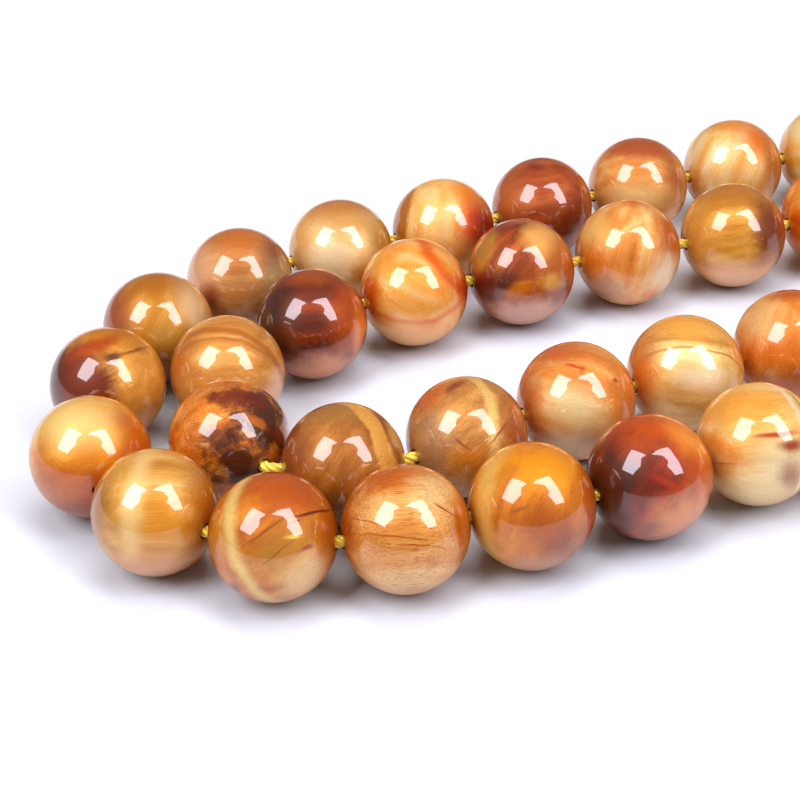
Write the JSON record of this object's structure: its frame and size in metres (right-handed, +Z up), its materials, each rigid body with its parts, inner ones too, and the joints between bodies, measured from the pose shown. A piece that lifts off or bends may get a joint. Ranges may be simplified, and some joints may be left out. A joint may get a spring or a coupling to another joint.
{
  "type": "strand of round tiger's eye beads",
  "caption": "Round polished tiger's eye beads threaded on a golden cord, knotted into a loop and laid flat in a folded, bent double row.",
  "frame": {"origin": "centre of the laid strand's outline, on the surface it lies on", "axes": "+X along the strand's longest extent, towards the end with the knot; +Y across it, away from the snug near row; +Z up"},
  "size_m": [0.1098, 0.0778, 0.01],
  "materials": {
    "honey_stone": "polished",
    "gold_stone": "polished",
    "amber_stone": "polished",
    "russet_stone": "polished",
    "caramel_stone": "polished",
    "mahogany_stone": "polished",
    "cord_silk": "twisted, silky"
  },
  "bodies": {
    "root": {"bead_01": "amber_stone", "bead_02": "honey_stone", "bead_03": "russet_stone", "bead_04": "russet_stone", "bead_05": "caramel_stone", "bead_06": "amber_stone", "bead_07": "mahogany_stone", "bead_08": "amber_stone", "bead_09": "mahogany_stone", "bead_10": "gold_stone", "bead_11": "mahogany_stone", "bead_12": "caramel_stone", "bead_13": "caramel_stone", "bead_14": "amber_stone", "bead_15": "gold_stone", "bead_16": "amber_stone", "bead_17": "honey_stone", "bead_18": "mahogany_stone", "bead_19": "gold_stone", "bead_20": "russet_stone", "bead_21": "amber_stone", "bead_22": "gold_stone", "bead_23": "honey_stone", "bead_24": "mahogany_stone", "bead_25": "amber_stone", "bead_26": "amber_stone", "bead_27": "caramel_stone", "bead_28": "honey_stone", "bead_29": "amber_stone", "bead_30": "mahogany_stone", "bead_31": "honey_stone", "bead_32": "caramel_stone", "bead_33": "gold_stone", "bead_34": "honey_stone", "bead_35": "mahogany_stone", "bead_36": "russet_stone", "bead_37": "gold_stone", "bead_38": "honey_stone", "bead_39": "amber_stone", "bead_40": "caramel_stone", "cord": "cord_silk", "knot": "cord_silk"}
  },
  "joints": []
}
